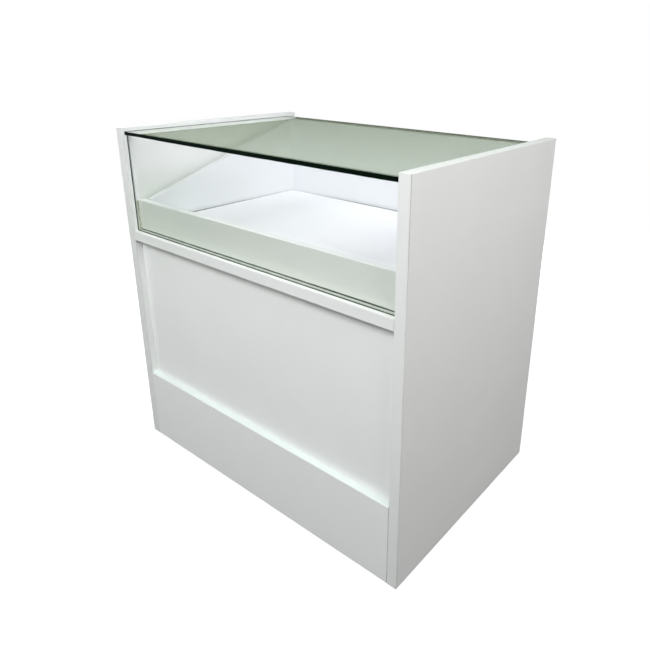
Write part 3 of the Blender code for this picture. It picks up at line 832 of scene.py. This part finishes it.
# %% Mix the metals and the beech
BLOOM_SPAN, BLOOM_SHARE = (0.25, 0.75), (0.6, 1.0)
BEECH_GRAIN, BEECH_SPAN, BEECH_ROUGHNESS = (40.0, 700.0, 700.0), (0.35, 0.7), (0.5, 0.7)
BEECH_BAND, BEECH_FLECK = (0.56, 0.38, 0.22), (0.36, 0.21, 0.11)


def metal(name, dark, pale, stretch, rough):
    """Brushed metal: noise drawn out along one axis moves colour, roughness and bump together."""
    material, tree, surface = new_material(name)
    place = object_place(tree)
    grain = noise(tree, stretched(tree, place, stretch), scale=1.0, detail=3.0)
    bloom = ramp(tree, noise(tree, place, scale=60.0, detail=3.0), *BLOOM_SPAN, *BLOOM_SHARE)
    colour = tint(tree, sums(tree, "MULTIPLY", ramp(tree, grain, *MIDDLING), bloom), dark, pale)
    gloss = ramp(tree, grain, *MIDDLING, *rough)
    bump = step(tree, "Bump", None, Strength=0.2, Distance=0.00004, Height=grain)
    principled(tree, surface, Base_Color=colour, Roughness=gloss, Normal=bump, Metallic=1.0)
    return material


def beech_wood(name):
    """Turned beech: pale bands along the grain with short darker flecks."""
    material, tree, surface = new_material(name)
    grain = noise(tree, stretched(tree, object_place(tree), BEECH_GRAIN), scale=1.0, detail=4.0)
    colour = tint(tree, ramp(tree, grain, *BEECH_SPAN), BEECH_BAND, BEECH_FLECK)
    gloss = ramp(tree, grain, *MIDDLING, *BEECH_ROUGHNESS)
    principled(tree, surface, Base_Color=colour, Roughness=gloss)
    return material


finishes = {
    "zinc_steel": metal("zinc_plate", dark=(0.50, 0.52, 0.55), pale=(0.68, 0.70, 0.72),
                        stretch=(400.0, 25.0, 400.0), rough=(0.28, 0.42)),
    "satin_aluminium": metal("satin_aluminium", dark=(0.62, 0.63, 0.64), pale=(0.78, 0.78, 0.79),
                             stretch=(30.0, 600.0, 1500.0), rough=(0.25, 0.38)),
    "beech": beech_wood("beech"),
}
for node, slot in finish_of.items():
    if slot in finishes:
        dress(node, finishes[slot])
print("metal and beech on", sum(slot in finishes for slot in finish_of.values()), "pieces")

# %% [markdown]
# Pan-head screws hold the runners, and plastic caps cover the cam fittings in the
# base board. They are too small for CAD, but they show when the tray is out. A
# head could be a turned profile, yet a turned shape has no cross in it, so each
# head is a height over rings and spokes: a dome, less a cross-shaped dip. One
# head is worked out once and set down at every place in the same sum.

# %% Shape the heads
HEAD_RINGS = np.array([0.1, 0.25, 0.4, 0.52, 0.64, 0.78, 0.9, 0.97, 1.0])  # shares of the radius
HEAD_SPOKES = 24
ARM_WIDTH, ARM_REACH = 0.13, 0.6  # of the cross, as shares of the radius


def heads(name, centres, first, second, radius, height, cross):
    """Round heads on a flat face, which has the directions first and second in it.

    Over a ring r and a spoke a the height is the root of one less r to the fourth, less the
    cross: a dip of that depth, which falls off to both sides of its two arms as a bell does
    and ends at six tenths of the radius.
    """
    first, second = np.array(first, float), np.array(second, float)
    r = HEAD_RINGS[:, None]
    a = np.linspace(0.0, 2 * np.pi, HEAD_SPOKES, endpoint=False)[None, :]
    u, v = r * np.cos(a), r * np.sin(a)
    off_arm = np.minimum(np.abs(u), np.abs(v)) / ARM_WIDTH
    dip = cross * np.exp(-(off_arm**2)) * (r < ARM_REACH)
    lift = height * (np.sqrt(1.0 - r**4) - dip)
    flat = u[..., None] * first + v[..., None] * second
    head = radius * flat + lift[..., None] * np.cross(first, second)
    points = np.array(centres)[:, None, None] + head[None]
    first_points = np.arange(len(centres))[:, None, None] * len(HEAD_RINGS) * HEAD_SPOKES
    faces = []
    for group in ring_faces(len(HEAD_RINGS), HEAD_SPOKES, flip=True):
        faces += (first_points + np.array(group)).reshape(-1, len(group[0])).tolist()
    return make_mesh(name, points, faces)


print("a head has", len(HEAD_RINGS) * HEAD_SPOKES, "points")

# %% [markdown]
# Each runner has a member on the cabinet, a middle one, and one on the tray. The
# outer two are screwed on through their webs, with four screws each. The heads
# sit on the open side of the web and ride with the body that their member is
# fixed to, so they part when the tray is pulled out. The caps sit beside the base
# board's dowels. All these places could be typed in, but worked out from the
# boxes of the runners, the dowels and the board they follow a change of size.

# %% Drive the screws and press in the caps
SHEET = 0.0015  # thickness of the runners' steel
SCREW_PLACES, DRILLED_LENGTH = np.array([0.04, 0.18, 0.32, 0.46]), 0.5  # along a runner so long
CAP_SHIFT, CAP_INSET = 0.032, 0.034  # from a dowel, and from an end of the board
hardware = []
for side, sign in SIDES:
    for member, body, face in (("cabinet", "cabinet", -sign), ("tray", "tray", sign)):
        low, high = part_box("runner_" + member + "_" + side)
        web = (low.x if face > 0 else high.x) + face * SHEET
        y = low.y + SCREW_PLACES * (high.y - low.y) / DRILLED_LENGTH
        places = np.stack(np.broadcast_arrays(web, y, (low.z + high.z) / 2), -1)
        turn = (AFT, UP) if face > 0 else (UP, AFT)
        screws = heads("screws_" + member + "_" + side, places, *turn,
                       radius=0.0034, height=0.0016, cross=0.5)
        screws.data.materials.append(finishes["zinc_steel"])
        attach(screws, body)
        hardware.append(screws)
base_low, base_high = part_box("base_board")
cap_y = [
    sum(corner.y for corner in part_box("dowel_base_" + end + "_left")) / 2 + shift
    for end, shift in (("front", CAP_SHIFT), ("rear", -CAP_SHIFT))
]
places = [(x, y, base_high.z) for x in (base_low.x + CAP_INSET, base_high.x - CAP_INSET) for y in cap_y]
caps = heads("cam_caps", places, (1, 0, 0), AFT, radius=0.0085, height=0.0012, cross=0.0)
cap_plastic = rubber("cap_plastic", dark=(0.70, 0.705, 0.69), pale=(0.77, 0.775, 0.76), rough=(0.3, 0.45))
caps.data.materials.append(cap_plastic)
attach(caps, "cabinet")
print("heads:", {piece.name: len(piece.data.polygons) for piece in (*hardware, caps)})
